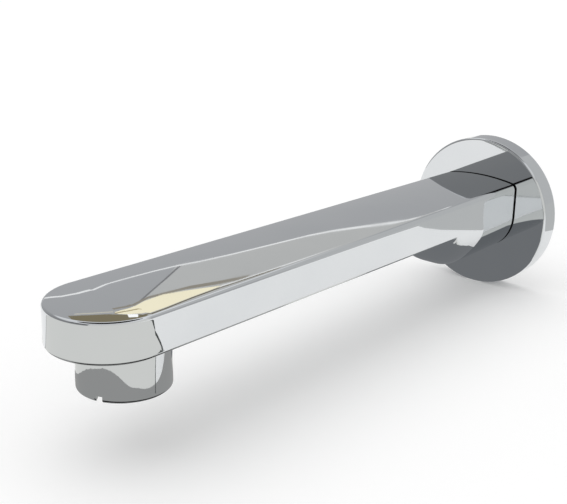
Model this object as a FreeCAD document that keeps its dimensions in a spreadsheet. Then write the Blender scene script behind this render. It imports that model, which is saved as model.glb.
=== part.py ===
import FreeCAD, Part
import math
import os
import Sketcher
from FreeCAD import Placement, Rotation, Vector

# Wall mounted bath spout: a flat cast arm with a round nose, a threaded inlet hub behind a
# round wall flange, and a screwed aerator under the nose.
# Frame: the origin is on the wall, on the inlet axis; the arm points to -Y and +Z is up.
# All lengths are millimetres. Distances are measured from the wall towards the nose.

SIZES = [
    # Wall flange, a pressed cup whose open side meets the wall
    ("flange_radius", 29.5),
    ("flange_depth", 8.0),
    ("flange_wall", 1.5),
    ("flange_edge_chamfer", 0.6),
    ("flange_bore_clearance", 0.3),
    # Round spigot behind the arm, which carries the flange and holds the inlet thread
    ("spigot_radius", 13.0),
    ("spigot_setback", 1.0),
    ("shadow_gap", 0.3),
    ("groove_depth", 1.6),
    ("ring_width", 2.4),
    ("ring_height", 2.2),
    ("ring_side_clearance", 0.1),
    # Inlet socket for a half inch pipe thread, bored to the thread's crests
    ("inlet_radius", 9.32),
    ("inlet_length", 15.0),
    ("inlet_chamfer", 1.2),
    # Arm, from the wall to the centre of its round nose
    ("nose_reach", 200.0),
    ("nose_half_width", 18.0),
    ("wall_half_width", 15.8),
    ("top_at_wall", 15.1),
    ("top_at_nose", 17.0),
    ("crown_at_wall", 1.7),
    ("crown_at_nose", 0.8),
    ("top_edge_at_wall", 2.5),
    ("top_edge_at_nose", 1.0),
    ("under_at_wall", 0.6),
    ("under_at_nose", 4.2),
    ("under_edge_radius", 1.0),
    # Hub under the arm: a half round barrel that ends in a rounded bow
    ("hub_drop", 13.8),
    ("hub_side_foot", 0.6),
    ("barrel_reach", 38.0),
    ("bow_length", 12.0),
    # Waterway inside the casting
    ("casting_wall", 2.5),
    ("throat_radius", 9.0),
    # Outlet under the nose: a flat machined pad and a threaded nozzle
    ("outlet_setback", 4.5),
    ("pad_margin", 0.7),
    ("pad_height", 0.4),
    ("nozzle_radius", 11.0),
    ("nozzle_length", 5.0),
    ("nozzle_bore_radius", 8.0),
    ("nozzle_chamfer", 0.5),
    # Aerator shell, which screws over the nozzle
    ("shell_wall", 2.2),
    ("shell_length", 13.6),
    ("shell_gap", 0.3),
    ("shell_edge_chamfer", 0.5),
    ("thread_clearance", 0.3),
    ("ledge_width", 1.0),
    ("key_slot_width", 1.9),
    ("key_slot_depth", 1.7),
    ("key_slot_turn", 18.6),
    ("key_slot_count", 2),
    # Aerator insert, held between the nozzle and the ledge inside the shell
    ("gasket_thickness", 1.5),
    ("gasket_hole_radius", 8.2),
    ("insert_side_clearance", 0.2),
    ("insert_collar_height", 1.5),
    ("insert_length", 6.1),
    ("insert_air_gap", 0.7),
    ("insert_wall", 1.0),
    ("insert_shelf_width", 0.7),
    ("insert_shelf_height", 0.8),
    ("disc_clearance", 0.1),
    ("jet_disc_thickness", 1.4),
    ("jet_disc_lap", 0.5),
    ("jet_radius", 0.55),
    ("jet_ring_radius", 5.6),
    ("jet_count", 14),
    ("filter_height", 2.4),
    ("filter_wall", 0.7),
    ("filter_clearance", 0.3),
    ("filter_slot_start", 1.6),
    ("filter_slot_end", 6.2),
    ("filter_slot_width", 0.9),
    ("filter_slot_count", 8),
    ("screen_rim", 0.7),
    ("mesh_thickness", 0.6),
    ("mesh_pitch", 2.3),
    ("mesh_wire", 0.6),
    ("grid_thickness", 1.0),
    ("grid_pitch", 2.8),
    ("grid_web", 0.5),
    # How far a cutting outline runs past the face it opens
    ("cut_overrun", 1.0),
]

# Turns of the bow's stations, from the barrel's end to the arm's underside
BOW_TURNS = [0.0, 22.0, 42.0, 60.0, 75.0, 90.0]

# Sides of each jet hole, which are few because the holes are small and many
JET_SIDES = 6

# A sketch point nearer to an axis than this is held on the axis
TOLERANCE = 0.001

document = FreeCAD.newDocument("bath_spout")
sheet = document.addObject("Spreadsheet::Sheet", "Sizes")
for row, (alias, size) in enumerate(SIZES, start=1):
    sheet.set("A%d" % row, alias)
    sheet.set("B%d" % row, str(size))
    sheet.setAlias("B%d" % row, alias)
document.recompute()


def value(expression):
    """The number that an expression on the sheet stands for."""
    return float(sheet.evalExpression(expression.replace("Sizes.", "")))


def at(distance, wall_size, nose_size):
    """Expression of a size that changes evenly from the wall to the nose's centre."""
    share = "(%s) / Sizes.nose_reach" % distance
    return "(Sizes.%s + (Sizes.%s - Sizes.%s) * %s)" % (wall_size, nose_size, wall_size, share)


def new_body(name):
    """An empty body whose label names its part."""
    body = document.addObject("PartDesign::Body", name)
    body.Label = name
    return body


def new_sketch(body, role, name, offset=("0", "0", "0")):
    """A sketch on one of the body's own planes, moved by expressions in the plane's frame."""
    sketch = body.newObject("Sketcher::SketchObject", name)
    plane = [item for item in body.Origin.OriginFeatures if item.Role == role][0]
    sketch.AttachmentSupport = [(plane, "")]
    sketch.MapMode = "FlatFace"
    for axis, expression in zip("xyz", offset):
        if expression != "0":
            sketch.setExpression("AttachmentOffset.Base.%s" % axis, expression)
    return sketch


def bind(sketch, constraint, expression):
    """Adds a size constraint and ties it to the sheet."""
    index = sketch.addConstraint(constraint)
    sketch.setExpression("Constraints[%d]" % index, expression)


def place_point(sketch, geometry, point, across, up):
    """Holds a sketch point at signed distances from the sketch's origin."""
    for kind, expression in (("DistanceX", across), ("DistanceY", up)):
        size = value(expression)
        if abs(size) < TOLERANCE:
            axis = -2 if kind == "DistanceX" else -1
            sketch.addConstraint(Sketcher.Constraint("PointOnObject", geometry, point, axis))
        elif size > 0:
            bind(sketch, Sketcher.Constraint(kind, -1, 1, geometry, point, size), expression)
        else:
            held = Sketcher.Constraint(kind, geometry, point, -1, 1, -size)
            bind(sketch, held, "-(%s)" % expression)


def draw_outline(sketch, corners):
    """A closed outline of straight lines through corners, each a pair of expressions."""
    points = [Vector(value(across), value(up), 0) for across, up in corners]
    count = len(points)
    for index in range(count):
        line = Part.LineSegment(points[index], points[(index + 1) % count])
        sketch.addGeometry(line, False)
    for index in range(count):
        follower = (index + 1) % count
        sketch.addConstraint(Sketcher.Constraint("Coincident", index, 2, follower, 1))
    for index, (across, up) in enumerate(corners):
        place_point(sketch, index, 1, across, up)


def arc(centre, radius, start, end):
    """An arc from its start point, anticlockwise, to its end point."""
    angles = [math.atan2(p.y - centre.y, p.x - centre.x) for p in (start, end)]
    circle = Part.Circle(centre, Vector(0, 0, 1), radius)
    return Part.ArcOfCircle(circle, angles[0], angles[1])


def crowned_section(body, name, station, half=False):
    """A cross section of the arm or its waterway: crowned top, upright sides, rounded foot.

    station gives the expressions of the section: its distance from the wall, half width, top,
    crown, top edge radius, foot edge radius and bottom. Half a section is closed on the axis.
    """
    distance, width, top, crown, top_edge, foot_edge, bottom = station
    sketch = new_sketch(body, "XZ_Plane", name, ("0", "0", distance))
    bend = "((%s)^2 + (%s)^2) / (2 * (%s))" % (width, crown, crown)
    w, peak, edge, foot, low, r = [value(e) for e in (width, top, top_edge, foot_edge, bottom, bend)]
    crown_centre = Vector(0, peak - r, 0)
    rise = math.sqrt((r - edge) ** 2 - (w - edge) ** 2)
    right_corner = Vector(w - edge, peak - r + rise, 0)
    right_touch = crown_centre + (right_corner - crown_centre) * (r / (r - edge))
    right_shoulder = Vector(w, right_corner.y, 0)
    right_foot = Vector(w, low + foot, 0)
    right_toe = Vector(w - foot, low, 0)
    right_heel = Vector(w - foot, low + foot, 0)

    def mirrored(point):
        return Vector(-point.x, point.y, 0)

    pieces = [
        arc(right_heel, foot, right_toe, right_foot),
        Part.LineSegment(right_foot, right_shoulder),
        arc(right_corner, edge, right_shoulder, right_touch),
    ]
    if half:
        peak_point = Vector(0, peak, 0)
        low_point = Vector(0, low, 0)
        pieces.append(arc(crown_centre, r, right_touch, peak_point))
        pieces.append(Part.LineSegment(peak_point, low_point))
        pieces.append(Part.LineSegment(low_point, right_toe))
    else:
        pieces.append(arc(crown_centre, r, right_touch, mirrored(right_touch)))
        pieces.append(arc(mirrored(right_corner), edge, mirrored(right_touch), mirrored(right_shoulder)))
        pieces.append(Part.LineSegment(mirrored(right_shoulder), mirrored(right_foot)))
        pieces.append(arc(mirrored(right_heel), foot, mirrored(right_foot), mirrored(right_toe)))
        pieces.append(Part.LineSegment(mirrored(right_toe), right_toe))
    indices = [sketch.addGeometry(piece, False) for piece in pieces]

    foot_arc, side, corner_arc, crown_arc = indices[:4]
    smooth = [(foot_arc, side), (side, corner_arc), (corner_arc, crown_arc)]
    if half:
        axis, floor = indices[4:]
        smooth.append((floor, foot_arc))
        sketch.addConstraint(Sketcher.Constraint("Coincident", crown_arc, 2, axis, 1))
        sketch.addConstraint(Sketcher.Constraint("Coincident", axis, 2, floor, 1))
        sketch.addConstraint(Sketcher.Constraint("PointOnObject", axis, 1, -2))
        sketch.addConstraint(Sketcher.Constraint("Vertical", axis))
    else:
        left_corner, left_side, left_foot, floor = indices[4:]
        smooth += [(crown_arc, left_corner), (left_corner, left_side), (left_side, left_foot)]
        smooth += [(left_foot, floor), (floor, foot_arc)]
        sketch.addConstraint(Sketcher.Constraint("Vertical", left_side))
        sketch.addConstraint(Sketcher.Constraint("Equal", left_corner, corner_arc))
        sketch.addConstraint(Sketcher.Constraint("Equal", left_foot, foot_arc))
        bind(sketch, Sketcher.Constraint("DistanceX", left_side, 1, -1, 1, w), width)
    for first, second in smooth:
        sketch.addConstraint(Sketcher.Constraint("Tangent", first, 2, second, 1))
    sketch.addConstraint(Sketcher.Constraint("Vertical", side))
    sketch.addConstraint(Sketcher.Constraint("Horizontal", floor))
    sketch.addConstraint(Sketcher.Constraint("PointOnObject", crown_arc, 3, -2))
    bind(sketch, Sketcher.Constraint("Radius", crown_arc, r), bend)
    drop = "(%s) - (%s)" % (bend, top)
    bind(sketch, Sketcher.Constraint("DistanceY", crown_arc, 3, -1, 1, r - peak), drop)
    bind(sketch, Sketcher.Constraint("Radius", corner_arc, edge), top_edge)
    bind(sketch, Sketcher.Constraint("Radius", foot_arc, foot), foot_edge)
    bind(sketch, Sketcher.Constraint("DistanceX", -1, 1, side, 1, w), width)
    if low < 0:
        bind(sketch, Sketcher.Constraint("DistanceY", floor, 1, -1, 1, -low), "-(%s)" % bottom)
    else:
        bind(sketch, Sketcher.Constraint("DistanceY", -1, 1, floor, 1, low), bottom)
    return sketch


def loft(body, kind, name, sketches):
    """A lofted feature through section sketches, added or cut."""
    feature = body.newObject("PartDesign::%sLoft" % kind, name)
    feature.Profile = (sketches[0], [""])
    feature.Sections = [(sketch, [""]) for sketch in sketches[1:]]
    feature.Ruled = True
    for sketch in sketches:
        sketch.Visibility = False
    return feature


def turned(body, kind, name, sketch, axis, angle=360.0, backwards=False):
    """A revolved feature, added or cut, about one of the sketch's axes."""
    feature = body.newObject("PartDesign::%s" % kind, name)
    feature.Profile = (sketch, [""])
    feature.ReferenceAxis = (sketch, [axis])
    feature.Angle = angle
    feature.Reversed = backwards
    return feature


def cut_round(body, name, sketch, depth, count):
    """A pocket cut upwards from a level sketch and repeated round the upright axis."""
    pocket = body.newObject("PartDesign::Pocket", name)
    pocket.Profile = (sketch, [""])
    pocket.setExpression("Length", depth)
    pocket.Reversed = True
    document.recompute()
    pattern = body.newObject("PartDesign::PolarPattern", name + "_ring")
    pattern.Originals = [pocket]
    upright = [item for item in body.Origin.OriginFeatures if item.Role == "Z_Axis"][0]
    pattern.Axis = (upright, [""])
    pattern.Angle = 360
    pattern.setExpression("Occurrences", count)
    body.Tip = pattern


# Faces and places that more than one piece uses, as expressions on the sheet
BOW_FRONT = "(Sizes.barrel_reach + Sizes.bow_length)"
SHOULDER = "(Sizes.flange_depth + Sizes.shadow_gap)"
PLATE_BACK = "-(Sizes.flange_depth - Sizes.flange_wall)"
GROOVE_FLOOR = "(Sizes.spigot_radius - Sizes.groove_depth)"
OUTLET_REACH = "(Sizes.nose_reach - Sizes.outlet_setback)"
PAD_FACE = "(%s - Sizes.pad_height)" % at(OUTLET_REACH, "under_at_wall", "under_at_nose")
NOZZLE_END = "(%s - Sizes.nozzle_length)" % PAD_FACE
SHELL_TOP = "(%s - Sizes.shell_gap)" % PAD_FACE
SHELL_END = "(%s - Sizes.shell_length)" % SHELL_TOP
SHELL_BORE = "(Sizes.nozzle_radius + Sizes.thread_clearance)"
SHELL_RADIUS = "(%s + Sizes.shell_wall)" % SHELL_BORE
PAD_RADIUS = "(%s + Sizes.pad_margin)" % SHELL_RADIUS
LEDGE_BORE = "(%s - Sizes.ledge_width)" % SHELL_BORE
INSERT_TOP = "(%s - Sizes.gasket_thickness)" % NOZZLE_END
LEDGE_FACE = "(%s - Sizes.insert_collar_height)" % INSERT_TOP
INSERT_END = "(%s - Sizes.insert_length)" % INSERT_TOP
INSERT_RADIUS = "(%s - Sizes.insert_air_gap)" % LEDGE_BORE
INSERT_BORE = "(%s - Sizes.insert_wall)" % INSERT_RADIUS
JET_SEAT_RADIUS = "(%s + Sizes.jet_disc_lap)" % INSERT_BORE
JET_SEAT = "(%s - Sizes.jet_disc_thickness)" % INSERT_TOP
SHELF_FACE = "(%s + Sizes.insert_shelf_height)" % INSERT_END
SHELF_BORE = "(%s - Sizes.insert_shelf_width)" % INSERT_BORE
SCREEN_RADIUS = "(%s - Sizes.disc_clearance)" % INSERT_BORE
GRID_FACE = "(%s + Sizes.grid_thickness)" % SHELF_FACE
MESH_FACE = "(%s + Sizes.mesh_thickness)" % GRID_FACE


def arm_station(distance):
    """Section of the flat arm at a distance from the wall."""
    return (
        distance,
        at(distance, "wall_half_width", "nose_half_width"),
        at(distance, "top_at_wall", "top_at_nose"),
        at(distance, "crown_at_wall", "crown_at_nose"),
        at(distance, "top_edge_at_wall", "top_edge_at_nose"),
        "Sizes.under_edge_radius",
        at(distance, "under_at_wall", "under_at_nose"),
    )


def hub_station(distance, turn):
    """Section through arm and hub; the turn runs from 0 at full depth to 90 at the arm."""
    arm = arm_station(distance)
    under = arm[6]
    front_under = at(BOW_FRONT, "under_at_wall", "under_at_nose")
    front_foot = "(%s + Sizes.under_edge_radius)" % front_under
    fullness = "cos(%s deg)" % turn
    foot = "(%s - (%s - Sizes.hub_side_foot) * %s)" % (front_foot, front_foot, fullness)
    bottom = "(%s - (%s + Sizes.hub_drop) * %s)" % (under, under, fullness)
    return arm[:5] + ("(%s - %s)" % (foot, bottom), bottom)


def water_section(body, name, distance, half=False):
    """Cross section of the waterway, flat sided and one casting wall inside the arm."""
    arm = arm_station(distance)
    width = "(%s - Sizes.casting_wall)" % arm[1]
    top = "(%s - %s - Sizes.casting_wall)" % (arm[2], arm[3])
    low = "(%s + Sizes.casting_wall)" % arm[6]
    sketch = new_sketch(body, "XZ_Plane", name, ("0", "0", distance))
    near = "0" if half else "-" + width
    draw_outline(sketch, [(near, low), (width, low), (width, top), (near, top)])
    return sketch


def outlet_body(name):
    """An empty body that stands on the outlet's axis."""
    body = new_body(name)
    body.setExpression("Placement.Base.y", "-%s" % OUTLET_REACH)
    return body


def turned_ring(name, inner, outer, low, high):
    """A plain ring or disc on the outlet's axis."""
    body = outlet_body(name)
    sketch = new_sketch(body, "YZ_Plane", name + "_outline")
    draw_outline(sketch, [(inner, low), (outer, low), (outer, high), (inner, high)])
    turned(body, "Revolution", name + "_turned", sketch, "V_Axis")
    return body


def make_spout_body():
    """The one piece brass casting: arm, nose, hub, spigot, waterway and nozzle."""
    body = new_body("spout_body")

    barrel_ends = [
        crowned_section(body, "barrel_at_wall", hub_station(SHOULDER, 0)),
        crowned_section(body, "barrel_at_bow", hub_station("Sizes.barrel_reach", 0)),
    ]
    loft(body, "Additive", "barrel", barrel_ends)

    bow_sections = []
    for index, turn in enumerate(BOW_TURNS):
        distance = "(Sizes.barrel_reach + Sizes.bow_length * sin(%s deg))" % turn
        station = arm_station(BOW_FRONT) if turn == 90.0 else hub_station(distance, turn)
        bow_sections.append(crowned_section(body, "bow_section_%d" % index, station))
    loft(body, "Additive", "bow", bow_sections)

    arm_ends = [
        crowned_section(body, "arm_at_bow", arm_station(BOW_FRONT)),
        crowned_section(body, "arm_at_nose", arm_station("Sizes.nose_reach")),
    ]
    loft(body, "Additive", "arm", arm_ends)

    nose = crowned_section(body, "nose_half", arm_station("Sizes.nose_reach"), half=True)
    turned(body, "Revolution", "nose", nose, "V_Axis", 180.0, backwards=True)

    spigot = new_sketch(body, "YZ_Plane", "spigot_outline")
    root = "-(%s + Sizes.casting_wall)" % SHOULDER
    groove_front = "(%s + Sizes.ring_side_clearance)" % PLATE_BACK
    groove_back = "(%s + Sizes.ring_width + 2 * Sizes.ring_side_clearance)" % groove_front
    end = "-Sizes.spigot_setback"
    draw_outline(
        spigot,
        [
            (root, "0"),
            (end, "0"),
            (end, "Sizes.spigot_radius"),
            (groove_back, "Sizes.spigot_radius"),
            (groove_back, GROOVE_FLOOR),
            (groove_front, GROOVE_FLOOR),
            (groove_front, "Sizes.spigot_radius"),
            (root, "Sizes.spigot_radius"),
        ],
    )
    turned(body, "Revolution", "spigot", spigot, "H_Axis")

    outlet = new_sketch(body, "YZ_Plane", "nozzle_outline", ("-%s" % OUTLET_REACH, "0", "0"))
    inside = "(%s + Sizes.casting_wall / 2)" % PAD_FACE
    draw_outline(
        outlet,
        [
            ("0", NOZZLE_END),
            ("Sizes.nozzle_radius - Sizes.nozzle_chamfer", NOZZLE_END),
            ("Sizes.nozzle_radius", NOZZLE_END + " + Sizes.nozzle_chamfer"),
            ("Sizes.nozzle_radius", PAD_FACE),
            (PAD_RADIUS, PAD_FACE),
            (PAD_RADIUS, inside),
            ("0", inside),
        ],
    )
    turned(body, "Revolution", "nozzle", outlet, "V_Axis")

    water_start = "(Sizes.spigot_setback + Sizes.inlet_length + Sizes.casting_wall)"
    water_ends = [
        water_section(body, "water_at_hub", water_start),
        water_section(body, "water_at_nose", "Sizes.nose_reach"),
    ]
    loft(body, "Subtractive", "waterway", water_ends)

    water_nose = water_section(body, "water_nose", "Sizes.nose_reach", half=True)
    turned(body, "Groove", "waterway_nose", water_nose, "V_Axis", 180.0, backwards=True)

    bore = new_sketch(body, "YZ_Plane", "nozzle_bore_outline", ("-%s" % OUTLET_REACH, "0", "0"))
    below = "(%s - Sizes.cut_overrun)" % NOZZLE_END
    bore_top = "(%s + Sizes.pad_height + Sizes.casting_wall + Sizes.cut_overrun)" % PAD_FACE
    draw_outline(
        bore,
        [
            ("0", below),
            ("Sizes.nozzle_bore_radius", below),
            ("Sizes.nozzle_bore_radius", bore_top),
            ("0", bore_top),
        ],
    )
    turned(body, "Groove", "nozzle_bore", bore, "V_Axis")

    socket = new_sketch(body, "YZ_Plane", "inlet_outline")
    inlet_floor = "-(Sizes.spigot_setback + Sizes.inlet_length)"
    throat_end = "-(Sizes.barrel_reach + Sizes.bow_length / 2)"
    mouth = "(Sizes.inlet_radius + Sizes.inlet_chamfer)"
    draw_outline(
        socket,
        [
            (throat_end, "0"),
            ("Sizes.cut_overrun", "0"),
            ("Sizes.cut_overrun", mouth),
            (end, mouth),
            (end + " - Sizes.inlet_chamfer", "Sizes.inlet_radius"),
            (inlet_floor, "Sizes.inlet_radius"),
            (inlet_floor, "Sizes.throat_radius"),
            (throat_end, "Sizes.throat_radius"),
        ],
    )
    turned(body, "Groove", "inlet", socket, "H_Axis")
    return body


def make_wall_flange():
    """The round cover that hides the hole in the wall, a thin cup with a bore for the spigot."""
    body = new_body("wall_flange")
    sketch = new_sketch(body, "YZ_Plane", "flange_outline")
    bore = "(Sizes.spigot_radius + Sizes.flange_bore_clearance)"
    inner = "(Sizes.flange_radius - Sizes.flange_wall)"
    face = "-Sizes.flange_depth"
    draw_outline(
        sketch,
        [
            (face, bore),
            (face, "(Sizes.flange_radius - Sizes.flange_edge_chamfer)"),
            ("(%s + Sizes.flange_edge_chamfer)" % face, "Sizes.flange_radius"),
            ("0", "Sizes.flange_radius"),
            ("0", inner),
            (PLATE_BACK, inner),
            (PLATE_BACK, bore),
        ],
    )
    turned(body, "Revolution", "flange_cup", sketch, "H_Axis")
    return body


def make_flange_ring():
    """The rubber ring in the spigot's groove, which keeps the flange on the arm."""
    body = new_body("flange_ring")
    sketch = new_sketch(body, "YZ_Plane", "ring_outline")
    front = "(%s + 2 * Sizes.ring_side_clearance)" % PLATE_BACK
    back = "(%s + Sizes.ring_width)" % front
    inner = "(%s + Sizes.ring_side_clearance)" % GROOVE_FLOOR
    outer = "(%s + Sizes.ring_height)" % inner
    draw_outline(sketch, [(front, inner), (back, inner), (back, outer), (front, outer)])
    turned(body, "Revolution", "ring", sketch, "H_Axis")
    return body


def make_aerator_shell():
    """The chromed sleeve around the nozzle, with a ledge inside and key slots in its rim."""
    body = outlet_body("aerator_shell")
    sketch = new_sketch(body, "YZ_Plane", "shell_outline")
    draw_outline(
        sketch,
        [
            (LEDGE_BORE, SHELL_END),
            ("(%s - Sizes.shell_edge_chamfer)" % SHELL_RADIUS, SHELL_END),
            (SHELL_RADIUS, "(%s + Sizes.shell_edge_chamfer)" % SHELL_END),
            (SHELL_RADIUS, SHELL_TOP),
            (SHELL_BORE, SHELL_TOP),
            (SHELL_BORE, LEDGE_FACE),
            (LEDGE_BORE, LEDGE_FACE),
        ],
    )
    turned(body, "Revolution", "sleeve", sketch, "V_Axis")
    document.recompute()

    slot = new_sketch(body, "XY_Plane", "key_slot_outline", ("0", "0", SHELL_END))
    slot.setExpression("AttachmentOffset.Rotation.Angle", "Sizes.key_slot_turn")
    half = "Sizes.key_slot_width / 2"
    far = "(%s + Sizes.cut_overrun)" % SHELL_RADIUS
    draw_outline(slot, [("-" + half, "-" + far), (half, "-" + far), (half, "0"), ("-" + half, "0")])
    cut_round(body, "key_slot", slot, "Sizes.key_slot_depth", "Sizes.key_slot_count")
    return body


def make_aerator_gasket():
    """The flat rubber washer between the nozzle's end and the insert."""
    outer = "(%s - Sizes.insert_side_clearance)" % SHELL_BORE
    return turned_ring("aerator_gasket", "Sizes.gasket_hole_radius", outer, INSERT_TOP, NOZZLE_END)


def make_insert_housing():
    """The plastic sleeve that hangs on the shell's ledge and holds the discs."""
    body = outlet_body("insert_housing")
    collar = "(%s - Sizes.insert_side_clearance)" % SHELL_BORE
    sketch = new_sketch(body, "YZ_Plane", "housing_outline")
    draw_outline(
        sketch,
        [
            (SHELF_BORE, INSERT_END),
            (INSERT_RADIUS, INSERT_END),
            (INSERT_RADIUS, LEDGE_FACE),
            (collar, LEDGE_FACE),
            (collar, INSERT_TOP),
            ("(%s + Sizes.disc_clearance)" % JET_SEAT_RADIUS, INSERT_TOP),
            ("(%s + Sizes.disc_clearance)" % JET_SEAT_RADIUS, JET_SEAT),
            (INSERT_BORE, JET_SEAT),
            (INSERT_BORE, SHELF_FACE),
            (SHELF_BORE, SHELF_FACE),
        ],
    )
    turned(body, "Revolution", "housing_turned", sketch, "V_Axis")
    return body


def make_jet_disc():
    """The disc whose ring of small holes breaks the water into jets."""
    body = turned_ring("jet_disc", "0", JET_SEAT_RADIUS, JET_SEAT, INSERT_TOP)
    document.recompute()
    hole = new_sketch(body, "XY_Plane", "jet_outline", ("0", "0", JET_SEAT))
    corners = []
    for side in range(JET_SIDES):
        turn = 360.0 * side / JET_SIDES
        across = "(Sizes.jet_radius * sin(%s deg))" % turn
        up = "(Sizes.jet_ring_radius + Sizes.jet_radius * cos(%s deg))" % turn
        corners.append((across, up))
    draw_outline(hole, corners)
    cut_round(body, "jet", hole, "Sizes.jet_disc_thickness", "Sizes.jet_count")
    return body


def make_filter_screen():
    """The slotted plastic cap that stops grit, standing on the jet disc inside the nozzle."""
    body = outlet_body("filter_screen")
    rim = "(Sizes.nozzle_bore_radius - Sizes.filter_clearance)"
    inner = "(%s - Sizes.filter_wall)" % rim
    peak = "(%s + Sizes.filter_height)" % INSERT_TOP
    under = "(%s - Sizes.filter_wall)" % peak
    sketch = new_sketch(body, "YZ_Plane", "filter_outline")
    draw_outline(
        sketch,
        [
            (inner, INSERT_TOP),
            (rim, INSERT_TOP),
            (rim, peak),
            ("0", peak),
            ("0", under),
            (inner, under),
        ],
    )
    turned(body, "Revolution", "cap", sketch, "V_Axis")
    document.recompute()
    slot = new_sketch(body, "XY_Plane", "filter_slot_outline", ("0", "0", INSERT_TOP))
    half = "Sizes.filter_slot_width / 2"
    near, far = "Sizes.filter_slot_start", "Sizes.filter_slot_end"
    draw_outline(slot, [("-" + half, near), (half, near), (half, far), ("-" + half, far)])
    cut_round(body, "filter_slot", slot, "Sizes.filter_height + Sizes.cut_overrun", "Sizes.filter_slot_count")
    return body


def pierced_disc(name, low, high, pitch, web, sides, row_ratio):
    """A disc on the outlet's axis pierced by rows of equal holes inside a solid rim.

    Hexagons stand in staggered rows like a honeycomb, squares in straight rows like a mesh.
    """
    radius, rim = value(SCREEN_RADIUS), value("Sizes.screen_rim")
    bottom, top = value(low), value(high)
    step, bar = value(pitch), value(web)
    hole_reach = (step - bar) / 2 / math.cos(math.pi / sides)
    row_step = step * row_ratio
    rows = int(radius / row_step)
    columns = int(radius / step) + 1
    turns = [math.pi * (2 * corner + 1) / sides for corner in range(sides)]
    hole = [(hole_reach * math.cos(turn), hole_reach * math.sin(turn), 0) for turn in turns]
    plate = Part.makeCylinder(radius, top - bottom, Vector(0, 0, bottom))
    cutters = []
    for row in range(-rows, rows + 1):
        stagger = 0.5 * (row % 2) if sides == 6 else 0.0
        for column in range(-columns, columns + 1):
            centre = Vector((column + stagger) * step, row * row_step, bottom)
            if math.hypot(centre.x, centre.y) + hole_reach > radius - rim:
                continue
            corners = [centre + Vector(*corner) for corner in hole]
            face = Part.Face(Part.makePolygon(corners + corners[:1]))
            cutters.append(face.extrude(Vector(0, 0, top - bottom)))
    disc = document.addObject("Part::Feature", name)
    disc.Label = name
    disc.Shape = plate.cut(cutters)
    disc.Placement = Placement(Vector(0, -value(OUTLET_REACH), 0), Rotation())
    return disc


def make_outlet_grid():
    """The honeycomb at the mouth, resting on the housing's shelf."""
    row_ratio = math.sqrt(3) / 2
    return pierced_disc(
        "outlet_grid", SHELF_FACE, GRID_FACE, "Sizes.grid_pitch", "Sizes.grid_web", 6, row_ratio
    )


def make_outlet_mesh():
    """The wire mesh that lies on the honeycomb."""
    return pierced_disc(
        "outlet_mesh", GRID_FACE, MESH_FACE, "Sizes.mesh_pitch", "Sizes.mesh_wire", 4, 1.0
    )


parts = [
    make_spout_body(),
    make_wall_flange(),
    make_flange_ring(),
    make_aerator_shell(),
    make_aerator_gasket(),
    make_insert_housing(),
    make_jet_disc(),
    make_filter_screen(),
    make_outlet_mesh(),
    make_outlet_grid(),
]
document.recompute()

for item in document.Objects:
    if "Invalid" in item.State or "Error" in item.State:
        raise RuntimeError("%s did not build: %s" % (item.Name, item.State))
os.makedirs("parts", exist_ok=True)
for part in parts:
    if part.Shape.isNull() or not part.Shape.isValid():
        raise RuntimeError("%s has no valid shape" % part.Label)
for part in parts:
    part.Shape.exportStep("parts/%s.step" % part.Label)
    print(part.Label, len(part.Shape.Solids), round(part.Shape.Volume, 1), part.Shape.BoundBox)
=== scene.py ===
"""Looks of a wall mounted bath spout: a chromed casting, its wall flange and its aerator.

Lengths are written in millimetres and built in metres, in the frame of the solids: the origin is
on the wall at the inlet's axis, the arm points to -Y and +Z is up.
"""
import logging
import math
from dataclasses import dataclass, replace
from enum import Enum
from typing import Sequence

import bmesh
import bpy
from mathutils import Matrix, Vector


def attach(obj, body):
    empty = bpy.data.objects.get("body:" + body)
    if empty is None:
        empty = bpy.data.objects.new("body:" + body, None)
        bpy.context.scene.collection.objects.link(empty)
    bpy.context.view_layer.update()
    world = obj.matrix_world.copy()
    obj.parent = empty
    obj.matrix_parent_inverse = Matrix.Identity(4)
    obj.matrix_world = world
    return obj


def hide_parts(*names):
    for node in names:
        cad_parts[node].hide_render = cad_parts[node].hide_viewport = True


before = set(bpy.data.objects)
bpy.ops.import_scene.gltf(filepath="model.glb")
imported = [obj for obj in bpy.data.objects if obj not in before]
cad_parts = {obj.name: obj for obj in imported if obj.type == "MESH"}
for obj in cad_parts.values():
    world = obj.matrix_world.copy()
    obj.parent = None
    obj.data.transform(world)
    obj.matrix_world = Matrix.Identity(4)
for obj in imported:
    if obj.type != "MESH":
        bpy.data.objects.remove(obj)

logging.basicConfig(level=logging.INFO, format="%(name)s: %(message)s")
log = logging.getLogger("bath_spout")

MM = 0.001
# Corners nearer than this to each other, in millimetres, are merged.
SEAM_GAP = 0.002
# Corners within this distance of a place, in millimetres, count as being there.
NEAR = 0.01
# Corners are told apart by this many decimals of a millimetre.
MATCH_DECIMALS = 4
# A rounded edge has this many steps, and the next ring of corners stands this far behind it.
EDGE_STEPS = 6
EDGE_LOOP = 0.3
# A wave texture of scale one has a band every 0.314 units.
WAVE_BAND = 0.314
# The colour sockets of a Mix node by their number: the two inputs and the result.
MIX_A, MIX_B, MIX_RESULT = 6, 7, 2

Point = tuple[float, float]
Piece = bpy.types.Object
Material = bpy.types.Material
Tree = bpy.types.NodeTree
Socket = bpy.types.NodeSocket


class Turn(Enum):
    """The axis that an outline is turned about."""

    INLET = "the inlet's axis, along Y"
    OUTLET = "the outlet's axis, upright"


def linear(hex_colour: str) -> tuple[float, float, float, float]:
    """Turns an sRGB hex colour into the linear values that a socket takes.

    Args:
        hex_colour: six hex digits after a hash.

    Returns:
        Red, green, blue and an alpha of one.
    """
    channels = [int(hex_colour[i : i + 2], 16) / 255 for i in (1, 3, 5)]
    return (*[c / 12.92 if c <= 0.04045 else ((c + 0.055) / 1.055) ** 2.4 for c in channels], 1.0)


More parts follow.
